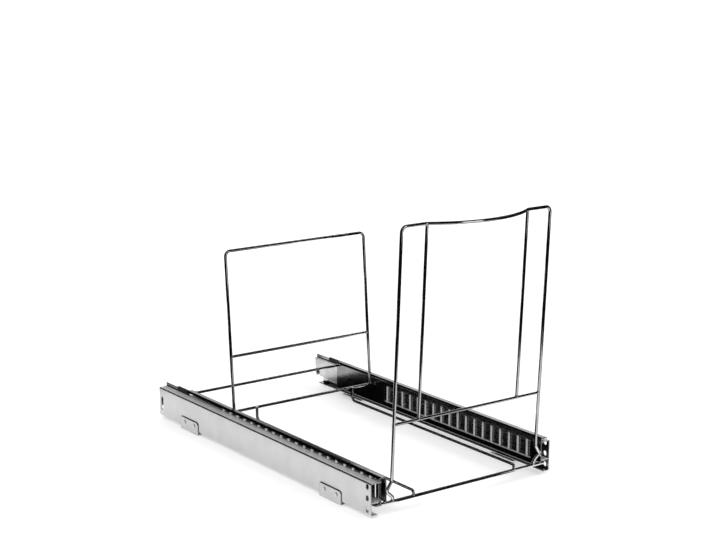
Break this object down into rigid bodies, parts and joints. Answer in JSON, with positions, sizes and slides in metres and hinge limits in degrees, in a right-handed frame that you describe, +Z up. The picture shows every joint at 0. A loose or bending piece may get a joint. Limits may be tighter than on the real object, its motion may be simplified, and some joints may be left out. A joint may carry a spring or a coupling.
{
  "type": "pull out bin frame",
  "caption": "Pull out waste bin frame: chromed wire cradle with a tall bowed handle hoop at the front and a lower hoop at the rear, riding on side-plate ball slides.",
  "frame": {"origin": "on the cabinet floor, under the middle of the closed frame", "axes": "+Z up, -Y towards the front, where the cradle pulls out, +X to the right seen from the front"},
  "size_m": [0.3204, 0.6118, 0.3948],
  "materials": {
    "zinc_sheet": "bright zinc plate",
    "channel_steel": "rolled, zinc plated",
    "buffer_rubber": "matt",
    "rivet_steel": "satin",
    "cage_steel": "bright steel strip",
    "ball_steel": "polished",
    "rail_steel": "dark plated, polished",
    "chrome_wire": "mirror plated"
  },
  "bodies": {
    "fixed_rails": {"left_mounting_plate": "zinc_sheet", "right_mounting_plate": "zinc_sheet", "left_fixed_channel": "channel_steel", "right_fixed_channel": "channel_steel", "left_front_foot": "zinc_sheet", "right_front_foot": "zinc_sheet", "left_rear_foot": "zinc_sheet", "right_rear_foot": "zinc_sheet", "left_closing_stop": "zinc_sheet", "right_closing_stop": "zinc_sheet", "left_buffer": "buffer_rubber", "right_buffer": "buffer_rubber", "left_travel_stop": "zinc_sheet", "right_travel_stop": "zinc_sheet", "foot_rivets": "rivet_steel"},
    "carriage": {"left_carriage_rail": "rail_steel", "right_carriage_rail": "rail_steel", "left_stop_tab": "rail_steel", "right_stop_tab": "rail_steel", "front_hoop": "chrome_wire", "front_base_wire": "chrome_wire", "front_left_upright": "chrome_wire", "front_right_upright": "chrome_wire", "front_lower_rail": "chrome_wire", "rear_hoop": "chrome_wire", "rear_lower_rail": "chrome_wire", "rear_support_wire": "chrome_wire", "rear_end_wire": "chrome_wire", "left_base_wire": "chrome_wire", "right_base_wire": "chrome_wire"},
    "left_cage": {"left_ball_cage": "cage_steel", "left_upper_balls": "ball_steel", "left_lower_balls": "ball_steel"},
    "right_cage": {"right_ball_cage": "cage_steel", "right_upper_balls": "ball_steel", "right_lower_balls": "ball_steel"}
  },
  "joints": [
    {"name": "carriage_slide", "type": "slide", "parent": "fixed_rails", "child": "carriage", "axis": [0, -1, 0], "range_m": [0, 0.38]},
    {"name": "left_cage_slide", "type": "slide", "parent": "fixed_rails", "child": "left_cage", "axis": [0, -1, 0], "range_m": [0, 0.19]},
    {"name": "right_cage_slide", "type": "slide", "parent": "fixed_rails", "child": "right_cage", "axis": [0, -1, 0], "range_m": [0, 0.19]}
  ],
  "couplings": [
    {"joint": "left_cage_slide", "follows": "carriage_slide", "ratio": 0.5},
    {"joint": "right_cage_slide", "follows": "carriage_slide", "ratio": 0.5}
  ]
}
